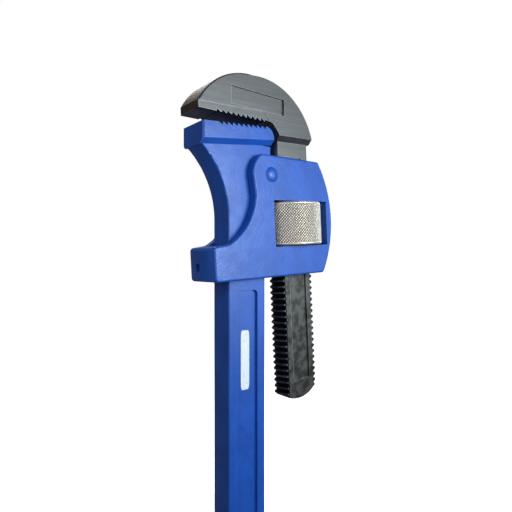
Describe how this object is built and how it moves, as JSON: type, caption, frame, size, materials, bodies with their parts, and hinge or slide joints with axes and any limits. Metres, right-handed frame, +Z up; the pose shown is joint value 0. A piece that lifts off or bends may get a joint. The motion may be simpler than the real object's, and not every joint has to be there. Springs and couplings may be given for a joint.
{
  "type": "pipe wrench",
  "caption": "Adjustable pipe wrench of the Stillson pattern: forged bar handle with a fixed jaw, pivoting housing, knurled nut and sliding threaded hook jaw.",
  "frame": {"origin": "centre of the hanging hole in the handle's lower end, in the middle of the bar's thickness", "axes": "+Z runs up the handle to the jaws, -X is the front that the jaws open to, +X is the back, and the flat sides face -Y and +Y"},
  "size_m": [0.0953, 0.0398, 0.2981],
  "materials": {
    "blue_paint": "gloss enamel over forged and cast iron",
    "forged_steel": "drop-forged, hardened, sides ground",
    "nickel_plate": "knurled, dull nickel plated",
    "spring_steel": "blued spring steel",
    "pin_steel": "plain steel rivet"
  },
  "bodies": {
    "handle": {"handle_bar": "blue_paint"},
    "housing": {"housing": "blue_paint", "pivot_rivet": "blue_paint", "front_spring": "spring_steel", "front_spring_pin": "pin_steel", "back_spring": "spring_steel", "back_spring_pin": "pin_steel"},
    "nut": {"adjusting_nut": "nickel_plate"},
    "hook_jaw": {"hook_jaw": "forged_steel"}
  },
  "joints": [
    {"name": "housing_rock", "type": "hinge", "parent": "handle", "child": "housing", "pos_m": [0.0131, 0, 0.2266], "axis": [0, 1, 0], "range_deg": [-2.5, 1.5], "stiffness_Nm_per_rad": 8},
    {"name": "jaw_slide", "type": "slide", "parent": "housing", "child": "hook_jaw", "axis": [-0.0576, 0, 0.9983], "range_m": [-0.0022, 0.05]},
    {"name": "nut_spin", "type": "hinge", "parent": "housing", "child": "nut", "pos_m": [0.0371, 0, 0.2005], "axis": [-0.0576, 0, 0.9983], "range_deg": [-5001, 221]}
  ],
  "couplings": [
    {"joint": "nut_spin", "follows": "jaw_slide", "rad_per_m": -1745.3}
  ]
}
